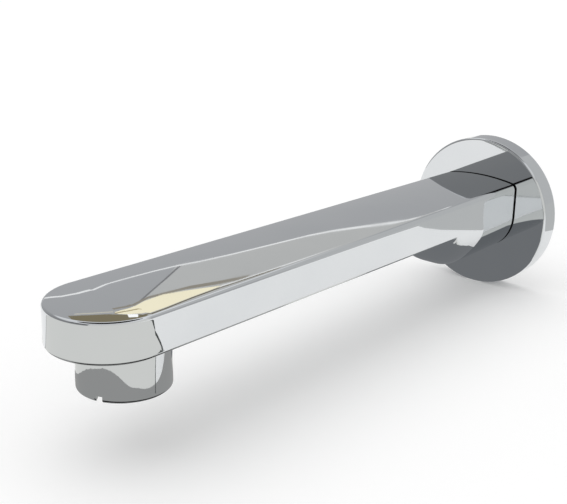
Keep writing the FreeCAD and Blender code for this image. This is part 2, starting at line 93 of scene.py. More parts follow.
def add_node(tree: Tree, kind: str, settings: dict | None = None,
             links: dict | None = None) -> bpy.types.Node:
    """Adds a node with its settings and links.

    Args:
        tree: the node tree that gets the node.
        kind: the node's type name in Blender, without its common start.
        settings: values by the name of an attribute or an input socket.
        links: output sockets by the name of the input socket that they feed; a node gives its first.

    Returns:
        The new node.
    """
    node = tree.nodes.new("ShaderNode" + kind)
    for name, value in (settings or {}).items():
        if isinstance(name, int) or name in node.inputs:
            node.inputs[name].default_value = value
        else:
            setattr(node, name, value)
    for name, source in (links or {}).items():
        output = source.outputs[0] if isinstance(source, bpy.types.Node) else source
        tree.links.new(output, node.inputs[name])
    return node


def new_material(name: str) -> tuple[Material, Tree, Socket]:
    """An empty node material.

    Args:
        name: what the material is called.

    Returns:
        The material, its tree and the surface socket of its output.
    """
    material = bpy.data.materials.new(name)
    material.use_nodes = True
    tree = material.node_tree
    tree.nodes.clear()
    output = add_node(tree, "OutputMaterial")
    return material, tree, output.inputs["Surface"]


@dataclass(frozen=True)
class PolishedChrome:
    """Electroplated chrome over a polished casting: a grey mirror with a faint waviness."""

    name: str
    colour: str = "#DFE1E2"
    deep_colour: str = "#D6D9DB"
    haze_low: float = 0.012
    haze_high: float = 0.045
    haze_patch: float = 24.0
    patch_low: float = 0.35
    patch_high: float = 0.75
    wave_length: float = 55.0
    wave_height: float = 0.006

    def make(self) -> Material:
        """Makes a clean mirror whose haze and level drift a little, as hand polishing leaves it.

        Returns:
            The material.
        """
        material, tree, surface = new_material(self.name)
        place = add_node(tree, "TexCoord").outputs["Object"]
        patch = add_node(tree, "TexNoise", {"Scale": 1 / (self.haze_patch * MM), "Detail": 4.0},
                         {"Vector": place})
        haze = add_node(tree, "MapRange", {"From Min": self.patch_low, "From Max": self.patch_high,
                                           "To Min": self.haze_low, "To Max": self.haze_high},
                        {"Value": patch})
        tint = add_node(tree, "Mix", {"data_type": "RGBA", MIX_A: linear(self.colour),
                                      MIX_B: linear(self.deep_colour)}, {"Factor": patch})
        wave = add_node(tree, "TexNoise", {"Scale": 1 / (self.wave_length * MM), "Detail": 0.0},
                        {"Vector": place})
        bump = add_node(tree, "Bump", {"Strength": 1.0, "Distance": self.wave_height * MM},
                        {"Height": wave})
        shader = add_node(tree, "BsdfPrincipled", {"Metallic": 1.0},
                          {"Base Color": tint.outputs[MIX_RESULT], "Roughness": haze, "Normal": bump})
        tree.links.new(shader.outputs["BSDF"], surface)
        return material


@dataclass(frozen=True)
class CastBrass:
    """Bare brass with fine tool marks: yellow in the bores; a dull, near-black copy of it is painted shade on
    a shoulder in a joint.
    """

    name: str = "machined_brass"
    colour: str = "#B89A5C"
    dark_colour: str = "#7C6334"
    mark_spacing: float = 0.6
    roughness: float = 0.34
    mark_depth: float = 0.03
    skin_patch: float = 4.0

    def make(self) -> Material:
        """Makes a dull metal, darker where the cast skin was left.

        Returns:
            The material.
        """
        material, tree, surface = new_material(self.name)
        place = add_node(tree, "TexCoord").outputs["Object"]
        skin = add_node(tree, "TexNoise", {"Scale": 1 / (self.skin_patch * MM), "Detail": 5.0},
                        {"Vector": place})
        tint = add_node(tree, "Mix", {"data_type": "RGBA", MIX_A: linear(self.dark_colour),
                                      MIX_B: linear(self.colour)}, {"Factor": skin})
        marks = add_node(tree, "TexWave", {"bands_direction": "Y",
                                           "Scale": WAVE_BAND / (self.mark_spacing * MM),
                                           "Distortion": 1.2}, {"Vector": place})
        bump = add_node(tree, "Bump", {"Strength": 0.5, "Distance": self.mark_depth * MM},
                        {"Height": marks.outputs["Fac"]})
        shader = add_node(tree, "BsdfPrincipled", {"Metallic": 1.0, "Roughness": self.roughness},
                          {"Base Color": tint.outputs[MIX_RESULT], "Normal": bump})
        tree.links.new(shader.outputs["BSDF"], surface)
        return material


@dataclass(frozen=True)
class Moulded:
    """Moulded plastic or rubber: soft sheen, fine mould grain and a slight drift of tone."""

    name: str
    colour: str
    shade_colour: str
    roughness: float
    grain: float = 0.25
    grain_depth: float = 0.02
    drift_patch: float = 5.0
    specular: float = 0.5

    def make(self) -> Material:
        """Makes an even colour with grain that only shows in the highlights.

        Returns:
            The material.
        """
        material, tree, surface = new_material(self.name)
        place = add_node(tree, "TexCoord").outputs["Object"]
        drift = add_node(tree, "TexNoise", {"Scale": 1 / (self.drift_patch * MM), "Detail": 3.0},
                         {"Vector": place})
        tint = add_node(tree, "Mix", {"data_type": "RGBA", MIX_A: linear(self.shade_colour),
                                      MIX_B: linear(self.colour)}, {"Factor": drift})
        grain = add_node(tree, "TexNoise", {"Scale": 1 / (self.grain * MM), "Detail": 2.0},
                         {"Vector": place})
        bump = add_node(tree, "Bump", {"Strength": 0.35, "Distance": self.grain_depth * MM},
                        {"Height": grain})
        shader = add_node(tree, "BsdfPrincipled", {"Roughness": self.roughness,
                                                   "Specular IOR Level": self.specular},
                          {"Base Color": tint.outputs[MIX_RESULT], "Normal": bump})
        tree.links.new(shader.outputs["BSDF"], surface)
        return material


@dataclass(frozen=True)
class WovenWire:
    """Woven stainless wire of the aerator's screen: small bright crossings over dark gaps."""

    name: str = "woven_stainless_wire"
    colour: str = "#A9A9A4"
    gap_colour: str = "#4A4A48"
    pitch: float = 0.5
    rib_height: float = 0.08
    roughness: float = 0.3

    def make(self) -> Material:
        """Makes two crossed sets of ribs, drawn coarser than real wire so that they show.

        Returns:
            The material.
        """
        material, tree, surface = new_material(self.name)
        place = add_node(tree, "TexCoord").outputs["Object"]
        ribs = [
            add_node(tree, "TexWave", {"bands_direction": axis, "Scale": WAVE_BAND / (self.pitch * MM)},
                     {"Vector": place}).outputs["Fac"]
            for axis in "XY"
        ]
        weave = add_node(tree, "Math", {"operation": "MULTIPLY"}, {0: ribs[0], 1: ribs[1]})
        tint = add_node(tree, "Mix", {"data_type": "RGBA", MIX_A: linear(self.gap_colour),
                                      MIX_B: linear(self.colour)}, {"Factor": weave})
        bump = add_node(tree, "Bump", {"Strength": 0.8, "Distance": self.rib_height * MM},
                        {"Height": weave})
        shader = add_node(tree, "BsdfPrincipled", {"Metallic": 1.0, "Roughness": self.roughness},
                          {"Base Color": tint.outputs[MIX_RESULT], "Normal": bump})
        tree.links.new(shader.outputs["BSDF"], surface)
        return material


def deselect() -> None:
    """Leaves nothing selected, so that an operator acts only on what comes next."""
    if bpy.context.object and bpy.context.object.mode != "OBJECT":
        bpy.ops.object.mode_set(mode="OBJECT")
    bpy.ops.object.select_all(action="DESELECT")


def select(*pieces: Piece) -> None:
    """Selects these pieces and nothing else, and makes the first one active.

    Args:
        *pieces: the objects that an operator is to act on.
    """
    deselect()
    for piece in pieces:
        piece.select_set(True)
    bpy.context.view_layer.objects.active = pieces[0]


def start_piece(name: str, corners: Sequence[Vector]) -> Piece:
    """Adds a ring of corners as a primitive and lays it on the given points, in edit mode.

    Args:
        name: what the piece is called.
        corners: the points of the first outline, in metres.

    Returns:
        The new object, in edit mode, with the whole outline selected.
    """
    deselect()
    bpy.ops.mesh.primitive_circle_add(vertices=len(corners), radius=1.0, fill_type="NOTHING")
    piece = bpy.context.object
    piece.name = piece.data.name = name
    bpy.ops.object.mode_set(mode="EDIT")
    bpy.ops.mesh.select_mode(type="VERT")
    bpy.ops.mesh.select_all(action="SELECT")
    mesh = bmesh.from_edit_mesh(piece.data)
    mesh.verts.ensure_lookup_table()
    for vertex, corner in zip(mesh.verts, corners):
        vertex.co = corner
    bmesh.update_edit_mesh(piece.data)
    return piece


def extrude_outline(piece: Piece, before: Sequence[Vector], after: Sequence[Vector]) -> None:
    """Extrudes the selected outline and lays the new corners on the next points.

    Args:
        piece: the object being shaped, in edit mode.
        before: where the selected corners are now.
        after: where each of them goes.
    """
    bpy.ops.mesh.extrude_edges_move(TRANSFORM_OT_translate={"value": (0, 0, 0)})
    mesh = bmesh.from_edit_mesh(piece.data)
    goal = {tuple(round(value / MM, MATCH_DECIMALS) for value in old): new for old, new in zip(before, after)}
    for vertex in mesh.verts:
        if vertex.select:
            vertex.co = goal[tuple(round(value / MM, MATCH_DECIMALS) for value in vertex.co)]
    bmesh.update_edit_mesh(piece.data)


def apply_modifier(piece: Piece, kind: str, settings: dict) -> None:
    """Adds a modifier with its settings and applies it.

    Args:
        piece: the object it works on.
        kind: the modifier's type name in Blender.
        settings: values by attribute name.
    """
    select(piece)
    modifier = piece.modifiers.new(kind.title(), kind)
    for name, value in settings.items():
        setattr(modifier, name, value)
    bpy.ops.object.modifier_apply(modifier=modifier.name)


def close_seams(piece: Piece) -> None:
    """Merges doubled corners and turns the faces outwards.

    Args:
        piece: the object, which is left in object mode.
    """
    select(piece)
    bpy.ops.object.mode_set(mode="EDIT")
    bpy.ops.mesh.select_all(action="SELECT")
    bpy.ops.mesh.remove_doubles(threshold=SEAM_GAP * MM)
    bpy.ops.mesh.normals_make_consistent(inside=False)
    bpy.ops.object.mode_set(mode="OBJECT")


def smooth(piece: Piece, degrees: float = 28.0) -> None:
    """Shades a piece smooth up to an angle and keeps its flat faces flat.

    Args:
        piece: the finished object.
        degrees: edges sharper than this stay sharp.
    """
    select(piece)
    bpy.ops.object.shade_smooth_by_angle(angle=math.radians(degrees))
    apply_modifier(piece, "WEIGHTED_NORMAL", {"keep_sharp": True, "weight": 100})


def turned_piece(name: str, outline: Sequence[Point], axis: Turn, centre: float = 0.0,
                 steps: int = 192) -> Piece:
    """Spins a closed outline all the way round, as on a lathe.

    Args:
        name: what the piece is called.
        outline: corners as distance along the axis and radius, in millimetres.
        axis: what it is turned about.
        centre: where the outlet's axis stands along Y, in millimetres.
        steps: how many facets a full turn has.

    Returns:
        The closed piece.
    """
    if axis is Turn.INLET:
        corners = [Vector((0, along, radius)) * MM for along, radius in outline]
        middle, direction = Vector((0, 0, 0)), (0, 1, 0)
    else:
        corners = [Vector((radius, centre, along)) * MM for along, radius in outline]
        middle, direction = Vector((0, centre, 0)) * MM, (0, 0, 1)
    piece = start_piece(name, corners)
    bpy.ops.mesh.spin(steps=steps, angle=2 * math.pi, center=middle, axis=direction)
    close_seams(piece)
    return piece


def rounded_edge(face: float, radius: float, edge: float) -> list[Point]:
    """Corners of a turned piece's rounded edge, from its end face to its side.

    Args:
        face: where the end face stands along the axis.
        radius: the side's radius.
        edge: the rounding's own radius.

    Returns:
        The corners as distance along the axis and radius.
    """
    turns = [math.pi / 2 * i / EDGE_STEPS for i in range(EDGE_STEPS + 1)]
    corners = [(face + edge * (1 - math.cos(turn)), radius - edge * (1 - math.sin(turn))) for turn in turns]
    return [*corners, (face + edge + EDGE_LOOP, radius)]


def cut(piece: Piece, tools: Sequence[Piece], operation: str = "DIFFERENCE") -> None:
    """Cuts tools out of a piece, or joins them to it, and removes the tools.

    Args:
        piece: the object that is kept.
        tools: closed objects that are used up.
        operation: DIFFERENCE or UNION.
    """
    for tool in tools:
        apply_modifier(piece, "BOOLEAN", {"operation": operation, "object": tool, "solver": "EXACT",
                                          "material_mode": "TRANSFER"})
        bpy.data.objects.remove(tool)


def dress(piece: Piece, *materials: Material) -> None:
    """Gives a piece its materials.

    Args:
        piece: the object that gets them.
        *materials: its finishes, in the order of its slots.
    """
    piece.data.materials.clear()
    for material in materials:
        piece.data.materials.append(material)


def hand_over(piece: Piece, slot: str, *nodes: str) -> None:
    """Fixes a finished piece to the body, hides the solids it stands for and logs them.

    Args:
        piece: the finished object.
        slot: not used.
        nodes: the solids that it replaces.
    """
    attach(piece, "root")
    if nodes:
        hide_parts(*nodes)
    log.info("%s: %d faces, for %s", piece.name, len(piece.data.polygons), ", ".join(nodes) or "detail")


@dataclass(frozen=True)
class Station:
    """Sizes of one section across the arm, in millimetres."""

    distance: float
    width: float
    top: float
    crown: float
    edge: float
    foot: float
    bottom: float


def arc(centre: Point, radius: float, start: float, end: float, count: int) -> list[Point]:
    """Points along an arc, without its last one.

    Args:
        centre: the arc's centre.
        radius: its radius.
        start: where it starts, in radians from the top.
        end: where it ends.
        count: how many points it gets.

    Returns:
        The points.
    """
    turns = [start + (end - start) * i / count for i in range(count)]
    return [(centre[0] + radius * math.sin(turn), centre[1] + radius * math.cos(turn)) for turn in turns]


@dataclass
class Casting:
    """The one piece chromed casting: arm, round nose, hub, spigot and nozzle."""

    chrome: Material
    brass: Material
    joint_painted_shade: Material
    shoulder: float = 8.3
    shoulder_bevel: float = 0.6
    joint_share: float = 0.9
    barrel_reach: float = 38.0
    bow_length: float = 12.0
    nose_reach: float = 200.0
    wall_half_width: float = 15.8
    nose_half_width: float = 18.0
    top_at_wall: float = 15.1
    top_at_nose: float = 17.0
    crown_at_wall: float = 1.7
    crown_at_nose: float = 0.8
    top_edge_at_wall: float = 2.5
    top_edge_at_nose: float = 1.0
    under_at_wall: float = 0.6
    under_at_nose: float = 4.2
    under_edge: float = 1.0
    hub_drop: float = 13.8
    hub_side_foot: float = 0.6
    crown_points: int = 12
    edge_points: int = 8
    foot_points: int = 20
    side_shares: tuple[float, ...] = (0.0, 0.03, 0.35, 0.65, 0.97)
    bottom_shares: tuple[float, ...] = (0.0, 0.03, 0.4, 0.7)
    barrel_sections: int = 6
    bow_sections: int = 18
    arm_sections: int = 30
    casting_wall: float = 2.5
    spigot_radius: float = 13.0
    spigot_end: float = 1.0
    spigot_chamfer: float = 0.4
    groove_start: float = 3.8
    groove_end: float = 6.4
    groove_depth: float = 1.6
    inlet_radius: float = 9.32
    inlet_floor: float = 16.0
    inlet_chamfer: float = 1.2
    mouth_relief: float = 0.1
    thread_depth: float = 1.16
    thread_pitch: float = 1.814
    thread_start: float = 0.2
    thread_steps: int = 72
    thread_sunk: float = 0.02
    crest_start: float = 0.256
    crest_end: float = 0.544
    crest_relief: float = 0.05
    throat_radius: float = 9.0
    outlet_reach: float = 195.5
    pad_radius: float = 14.2
    pad_face: float = 3.719
    pad_chamfer: float = 0.15
    pad_sunk: float = 1.5
    nozzle_radius: float = 11.0
    nozzle_end: float = -1.281
    nozzle_chamfer: float = 0.5
    nozzle_bore: float = 8.0
    inlet_clear: float = 0.5
    bore_clear: float = 1.0

    def along(self, distance: float, wall: float, nose: float) -> float:
        """A size that changes evenly from the wall to the nose's centre."""
        return wall + (nose - wall) * distance / self.nose_reach

    def arm_station(self, distance: float) -> Station:
        """Sizes of the arm's own section.

        Args:
            distance: how far it stands from the wall.

        Returns:
            The station.
        """
        return Station(
            distance,
            width=self.along(distance, self.wall_half_width, self.nose_half_width),
            top=self.along(distance, self.top_at_wall, self.top_at_nose),
            crown=self.along(distance, self.crown_at_wall, self.crown_at_nose),
            edge=self.along(distance, self.top_edge_at_wall, self.top_edge_at_nose),
            foot=self.under_edge,
            bottom=self.along(distance, self.under_at_wall, self.under_at_nose),
        )

    def hub_station(self, distance: float, turn: float) -> Station:
        """Sizes of the section through arm and hub.

        Args:
            distance: how far it stands from the wall.
            turn: the bow's turn in degrees, from 0 at full depth to 90 at the arm.

        Returns:
            The station.
        """
        arm = self.arm_station(distance)
        front = self.arm_station(self.barrel_reach + self.bow_length)
        fullness = math.cos(math.radians(turn))
        front_foot = front.bottom + self.under_edge
        foot_level = front_foot - (front_foot - self.hub_side_foot) * fullness
        bottom = arm.bottom - (arm.bottom + self.hub_drop) * fullness
        return replace(arm, foot=foot_level - bottom, bottom=bottom)

    def outline(self, station: Station) -> list[Vector]:
        """Corners of a section, clockwise from the middle of its top.

        Args:
            station: the section's sizes.

        Returns:
            An even number of points; the lower middle is half way along.
        """
        width, edge, foot, bottom = station.width, station.edge, station.foot, station.bottom
        bend = (width**2 + station.crown**2) / (2 * station.crown)
        bend_level = station.top - bend
        corner_x = width - edge
        corner_z = bend_level + math.sqrt((bend - edge) ** 2 - corner_x**2)
        touch = math.atan2(corner_x, corner_z - bend_level)
        foot_level = bottom + foot
        right = [
            *arc((0.0, bend_level), bend, 0.0, touch, self.crown_points),
            *arc((corner_x, corner_z), edge, touch, math.pi / 2, self.edge_points),
            *((width, corner_z + (foot_level - corner_z) * share) for share in self.side_shares),
            *arc((width - foot, foot_level), foot, math.pi / 2, math.pi, self.foot_points),
            *(((width - foot) * (1 - share), bottom) for share in self.bottom_shares),
        ]
        left = [(-x, z) for x, z in reversed(right[1:])]
        points = [*right, (0.0, bottom), *left]
        return [Vector((x, -station.distance, z)) * MM for x, z in points]

    def stations(self) -> list[Station]:
        """Works out the sections: the hub's barrel, its bow, then the arm alone.

        Returns:
            Every section from the shoulder to the nose's centre.
        """
        front = self.barrel_reach + self.bow_length
        barrel = self.barrel_reach - self.shoulder
        found = [self.hub_station(self.shoulder + barrel * i / self.barrel_sections, 0.0)
                 for i in range(self.barrel_sections + 1)]
        for i in range(1, self.bow_sections + 1):
            turn = 90.0 * i / self.bow_sections
            reach = self.barrel_reach + self.bow_length * math.sin(math.radians(turn))
            found.append(self.hub_station(reach, turn))
        found += [self.arm_station(front + (self.nose_reach - front) * i / self.arm_sections)
                  for i in range(1, self.arm_sections + 1)]
        return found

    def spin_nose(self, piece: Piece, steps: int) -> None:
        """Spins the half section at the nose's centre round to the other side and closes the piece.

        Args:
            piece: the extruded bar, in edit mode.
            steps: how many facets the half turn has.
        """
        mesh = bmesh.from_edit_mesh(piece.data)
        for vertex in mesh.verts:
            at_nose = vertex.co.y < -(self.nose_reach - NEAR) * MM
            vertex.select_set(at_nose and vertex.co.x > -NEAR * MM)
        mesh.select_flush_mode()
        bmesh.update_edit_mesh(piece.data)
        middle = Vector((0, -self.nose_reach, 0)) * MM
        bpy.ops.mesh.spin(steps=steps, angle=math.pi, center=middle, axis=(0, 0, 1))
        close_seams(piece)

    def build_skin(self) -> Piece:
        """Extrudes the outside of arm and hub from section to section, then spins the nose.

        Returns:
            The closed skin.
        """
        rings = [self.outline(station) for station in self.stations()]
        inset = 1 - self.shoulder_bevel / self.wall_half_width
        back = [Vector((corner.x * inset, corner.y, corner.z * inset)) for corner in rings[0]]
        for corner in rings[0]:
            corner.y -= self.shoulder_bevel * MM
        rings.insert(0, back)
        skin = start_piece("casting", rings[0])
        bpy.ops.mesh.edge_face_add()
        for before, after in zip(rings, rings[1:]):
            extrude_outline(skin, before, after)
        self.spin_nose(skin, steps=72)
        return skin

    def build_waterway(self) -> Piece:
        """Makes the hollow inside the arm as a tool: a flat sided bar with a round end.

        Returns:
            The closed tool.
        """
        rings = []
        for distance in (self.inlet_floor + self.casting_wall, self.nose_reach):
            arm = self.arm_station(distance)
            width = arm.width - self.casting_wall
            high = arm.top - arm.crown - self.casting_wall
            low = arm.bottom + self.casting_wall
            corners = [(0, high), (width, high), (width, low), (0, low), (-width, low), (-width, high)]
            rings.append([Vector((x, -distance, z)) * MM for x, z in corners])
        bar = start_piece("waterway_tool", rings[0])
        bpy.ops.mesh.edge_face_add()
        extrude_outline(bar, *rings)
        self.spin_nose(bar, steps=36)
        return bar

    def build_thread(self) -> Piece:
        """Sweeps one tooth of the half inch pipe thread along a helix in the inlet's bore.

        Returns:
            The closed thread.
        """
        pitch = self.thread_pitch
        root = self.inlet_radius + self.thread_depth + self.thread_sunk
        crest = self.inlet_radius + self.crest_relief
        start = -(self.spigot_end + self.inlet_chamfer + self.thread_start)
        tooth = [(self.thread_sunk, root), (pitch * self.crest_start, crest),
                 (pitch * self.crest_end, crest), (pitch - self.thread_sunk, root)]
        corners = [Vector((0, start - along, radius)) * MM for along, radius in tooth]
        thread = start_piece("inlet_thread", corners)
        bpy.ops.mesh.edge_face_add()
        turns = math.floor((self.inlet_floor - self.spigot_end - self.inlet_chamfer) / pitch) - 1
        bpy.ops.mesh.spin(steps=self.thread_steps * turns, angle=2 * math.pi * turns,
                          center=(0, 0, 0), axis=(0, 1, 0))
        mesh = bmesh.from_edit_mesh(thread.data)
        mesh.verts.ensure_lookup_table()
        for index, vertex in enumerate(mesh.verts):
            vertex.co.y -= (index // len(tooth)) / self.thread_steps * pitch * MM
        bmesh.update_edit_mesh(thread.data)
        close_seams(thread)
        return thread

    def join_ends(self, skin: Piece) -> None:
        """Joins the spigot with its ring groove, and the nozzle with its pad, to the skin.

        Args:
            skin: the dressed outside of arm and hub.
        """
        sunk, end = -self.shoulder - self.casting_wall, -self.spigot_end
        groove_radius = self.spigot_radius - self.groove_depth
        spigot = turned_piece("spigot_tool", [
            (sunk, 0), (end, 0), (end, self.spigot_radius - self.spigot_chamfer),
            (end - self.spigot_chamfer, self.spigot_radius), (-self.groove_start, self.spigot_radius),
            (-self.groove_start, groove_radius), (-self.groove_end, groove_radius),
            (-self.groove_end, self.spigot_radius), (sunk, self.spigot_radius)], Turn.INLET)
        pad_top = self.pad_face + self.pad_sunk
        nozzle = turned_piece("nozzle_tool", [
            (self.nozzle_end, 0), (self.nozzle_end, self.nozzle_radius - self.nozzle_chamfer),
            (self.nozzle_end + self.nozzle_chamfer, self.nozzle_radius), (self.pad_face, self.nozzle_radius),
            (self.pad_face, self.pad_radius - self.pad_chamfer),
            (self.pad_face + self.pad_chamfer, self.pad_radius), (pad_top, self.pad_radius),
            (pad_top, 0)], Turn.OUTLET, -self.outlet_reach)
        for part in (spigot, nozzle):
            dress(part, self.chrome)
        cut(skin, [spigot, nozzle], "UNION")

    def cut_passages(self, skin: Piece) -> None:
        """Cuts the inlet with its throat, the waterway and the nozzle's bore.

        Args:
            skin: the joined casting, still solid.
        """
        root, end = self.inlet_radius + self.thread_depth, -self.spigot_end
        throat_end = -(self.barrel_reach + self.bow_length / 2)
        inlet = turned_piece("inlet_tool", [
            (throat_end, 0), (self.inlet_clear, 0), (self.inlet_clear, root + self.mouth_relief),
            (end, root + self.mouth_relief), (end - self.mouth_relief, root), (-self.inlet_floor, root),
            (-self.inlet_floor, self.throat_radius), (throat_end, self.throat_radius)],
            Turn.INLET, steps=96)
        bore_low = self.nozzle_end - self.bore_clear
        bore_top = self.pad_face + self.casting_wall + 2 * self.bore_clear
        bore = turned_piece("bore_tool", [
            (bore_low, 0), (bore_low, self.nozzle_bore), (bore_top, self.nozzle_bore), (bore_top, 0)],
            Turn.OUTLET, -self.outlet_reach, steps=96)
        waterway = self.build_waterway()
        for part in (inlet, bore, waterway):
            dress(part, self.brass)
        cut(skin, [waterway, inlet, bore])

    def build(self) -> None:
        """Builds the casting, paints shade on its shoulder in the joint and adds the inlet's thread."""
        skin = self.build_skin()
        dress(skin, self.chrome, self.joint_painted_shade)
        # Faces behind the joint's edge get the near-black material: painted shade for the shadow in the
        # joint.
        for face in skin.data.polygons:
            joint_edge = -(self.shoulder + self.shoulder_bevel * self.joint_share) * MM
            face.material_index = int(face.center.y > joint_edge)
        self.join_ends(skin)
        self.cut_passages(skin)
        smooth(skin)
        hand_over(skin, "chromed_brass", "spout_body")
        thread = self.build_thread()
        dress(thread, self.brass)
        smooth(thread, degrees=40.0)
        hand_over(thread, "chromed_brass", "spout_body")


@dataclass
class WallFlange:
    """The pressed round cover at the wall: a shallow cup with a rounded front edge."""

    chrome: Material
    radius: float = 29.5
    depth: float = 8.0
    wall: float = 1.5
    bore: float = 13.3
    edge: float = 0.8

    def build(self) -> None:
        """Turns the cup and rounds its front edge."""
        front, inside = -self.depth, self.radius - self.wall
        outline = [(front, self.bore), *rounded_edge(front, self.radius, self.edge), (0, self.radius),
                   (0, inside), (front + self.wall, inside), (front + self.wall, self.bore)]
        flange = turned_piece("flange", outline, Turn.INLET, steps=256)
        dress(flange, self.chrome)
        smooth(flange)
        hand_over(flange, "chromed_steel", "wall_flange")


@dataclass
class Aerator:
    """The screwed sleeve under the nose with its key slots, and the honeycomb at its mouth."""

    chrome: Material
    acetal: Material
    centre: float = -195.5
    top: float = 3.419
    top_chamfer: float = 0.3
    end: float = -10.181
    radius: float = 13.5
    bore: float = 11.3
    ledge_bore: float = 10.3
    ledge_face: float = -4.281
    edge: float = 0.6
    mouth_chamfer: float = 0.2
    slot_width: float = 1.9
    slot_depth: float = 1.7
    # Each side of a slot opens by this much for every millimetre inwards.
    slot_flare: float = 0.38
    slot_turn: float = 18.6
    slot_clear: float = 1.0
    grid_low: float = -8.081
    grid_high: float = -7.081
    grid_radius: float = 8.5
    grid_rim: float = 0.75
    cell_pitch: float = 1.75
    cell_web: float = 0.34

    def slot_tool(self, turn: float) -> Piece:
        """Makes the tool for one key slot, which is wider on the inside.

        Args:
            turn: its place round the sleeve, in degrees.

        Returns:
            The closed tool.
        """
        deselect()
        bpy.ops.mesh.primitive_cube_add(size=1.0)
        tool = bpy.context.object
        reach = self.radius + self.slot_clear
        for corner in tool.data.vertices:
            inwards = self.radius - reach * (0.5 - corner.co.y)
            corner.co.x *= 1 + 2 * self.slot_flare * inwards / self.slot_width
        size = Vector((self.slot_width, reach, 2 * self.slot_depth)) * MM
        tool.data.transform(Matrix.Diagonal((*size, 1)))
        tool.data.transform(Matrix.Translation(Vector((0, self.centre, self.end)) * MM)
                            @ Matrix.Rotation(math.radians(turn), 4, "Z")
                            @ Matrix.Translation(Vector((0, -reach / 2, 0)) * MM))
        dress(tool, self.chrome)
        return tool

    def build_sleeve(self) -> None:
        """Turns the sleeve, rounds its rim and cuts two slots for the key."""
        outline = [
            (self.end, self.ledge_bore + self.mouth_chamfer),
            *rounded_edge(self.end, self.radius, self.edge),
            (self.top - self.top_chamfer, self.radius), (self.top, self.radius - self.top_chamfer),
            (self.top, self.bore), (self.ledge_face, self.bore), (self.ledge_face, self.ledge_bore),
            (self.end + self.mouth_chamfer, self.ledge_bore)]
        sleeve = turned_piece("aerator_sleeve", outline, Turn.OUTLET, self.centre)
        dress(sleeve, self.chrome)
        cut(sleeve, [self.slot_tool(self.slot_turn), self.slot_tool(self.slot_turn + 180.0)])
        smooth(sleeve)
        hand_over(sleeve, "chromed_brass", "aerator_shell")

    def first_cell(self) -> Piece:
        """Insets a hexagon and deepens its edge into a cell's walls.

        Returns:
            The open cell, about the origin.
        """
        deselect()
        across = self.cell_pitch / math.sqrt(3) * MM
        bpy.ops.mesh.primitive_circle_add(vertices=6, radius=across, fill_type="NGON")
        cell = bpy.context.object
        bpy.ops.object.mode_set(mode="EDIT")
        bpy.ops.mesh.select_all(action="SELECT")
        bpy.ops.mesh.inset(thickness=self.cell_web / 2 * MM)
        bpy.ops.mesh.delete(type="FACE")
        bpy.ops.mesh.select_all(action="SELECT")
        bpy.ops.mesh.extrude_region_move(
            TRANSFORM_OT_translate={"value": (0, 0, (self.grid_high - self.grid_low) * MM)})
        bpy.ops.object.mode_set(mode="OBJECT")
        return cell

    def build_honeycomb(self) -> None:
        """Copies the cell in staggered rows inside a plain rim and joins them."""
        inside = self.grid_radius - self.grid_rim
        rim = turned_piece("honeycomb", [
            (self.grid_low, inside), (self.grid_low, self.grid_radius),
            (self.grid_high, self.grid_radius), (self.grid_high, inside)],
            Turn.OUTLET, self.centre, steps=96)
        cell = self.first_cell()
        copies = []
        rows = int(self.grid_radius / self.cell_pitch) + 2
        for row in range(-rows, rows + 1):
            for column in range(-rows, rows + 1):
                x = (column + 0.5 * (row % 2)) * self.cell_pitch
                y = row * self.cell_pitch * math.sqrt(3) / 2
                if math.hypot(x, y) > self.grid_radius - self.cell_pitch / 2:
                    continue
                copy = cell.copy()
                copy.data = cell.data.copy()
                bpy.context.scene.collection.objects.link(copy)
                place = Vector((x, self.centre + y, self.grid_low)) * MM
                copy.data.transform(Matrix.Translation(place))
                copies.append(copy)
        bpy.data.objects.remove(cell)
        select(rim, *copies)
        bpy.ops.object.join()
        close_seams(rim)
        dress(rim, self.acetal)
        smooth(rim)
        hand_over(rim, "white_plastic", "outlet_grid")

    def build(self) -> None:
        """Builds the sleeve and the honeycomb."""
        self.build_sleeve()
        self.build_honeycomb()


class Reach(Enum):
    """Where a board of the light tent lies."""

    FLOOR = "flat on the floor, corners in millimetres along X and Y"
    FAR = "far off, corners as azimuth from -Y towards +X and elevation, in degrees"


# Boards on the floor lie this far over each other, in millimetres.
FLOOR_STEP = 0.05
# Far boards hang at this distance, each this much nearer than the one before, in millimetres.
FAR_DISTANCE = 12000.0
FAR_STEP = 60.0


@dataclass(frozen=True)
class PaintedReflection:
    """A flat stage piece that only mirror rays see: a painted reflection, one of the lights and darks of a
    light tent.
    """

    name: str
    reach: Reach
    colour: str
    corners: tuple[Point, ...]
    strength: float = 1.0

    def build(self, floor_level: float, lift: int) -> None:
        """Lays the board out and gives it an even glow.

        Args:
            floor_level: height of the floor, in millimetres.
            lift: its place in the stack, a higher one nearer to the object, so that no two share a plane.
        """
        if self.reach is Reach.FLOOR:
            points = [Vector((x, y, floor_level + FLOOR_STEP * lift)) for x, y in self.corners]
        else:
            distance = FAR_DISTANCE - FAR_STEP * lift
            points = [self.far_point(azimuth, elevation, distance) for azimuth, elevation in self.corners]
        board = start_piece(self.name, [point * MM for point in points])
        bpy.ops.mesh.edge_face_add()
        deselect()
        dress(board, self.glow())
        show_to_chrome_only(board)

    @staticmethod
    def far_point(azimuth: float, elevation: float, distance: float) -> Vector:
        """A point in a direction from the origin.

        Args:
            azimuth: its turn in degrees from -Y towards +X.
            elevation: its angle in degrees above the level.
            distance: how far off it is, in millimetres.

        Returns:
            The point, in millimetres.
        """
        around, rise = math.radians(azimuth), math.radians(elevation)
        level = math.cos(rise)
        return Vector((math.sin(around) * level, -math.cos(around) * level, math.sin(rise))) * distance

    def glow(self) -> Material:
        """Makes an even glow of the board's colour.

        Returns:
            The material.
        """
        material, tree, surface = new_material(self.name)
        light = add_node(tree, "Emission", {"Color": linear(self.colour), "Strength": self.strength})
        tree.links.new(light.outputs["Emission"], surface)
        return material


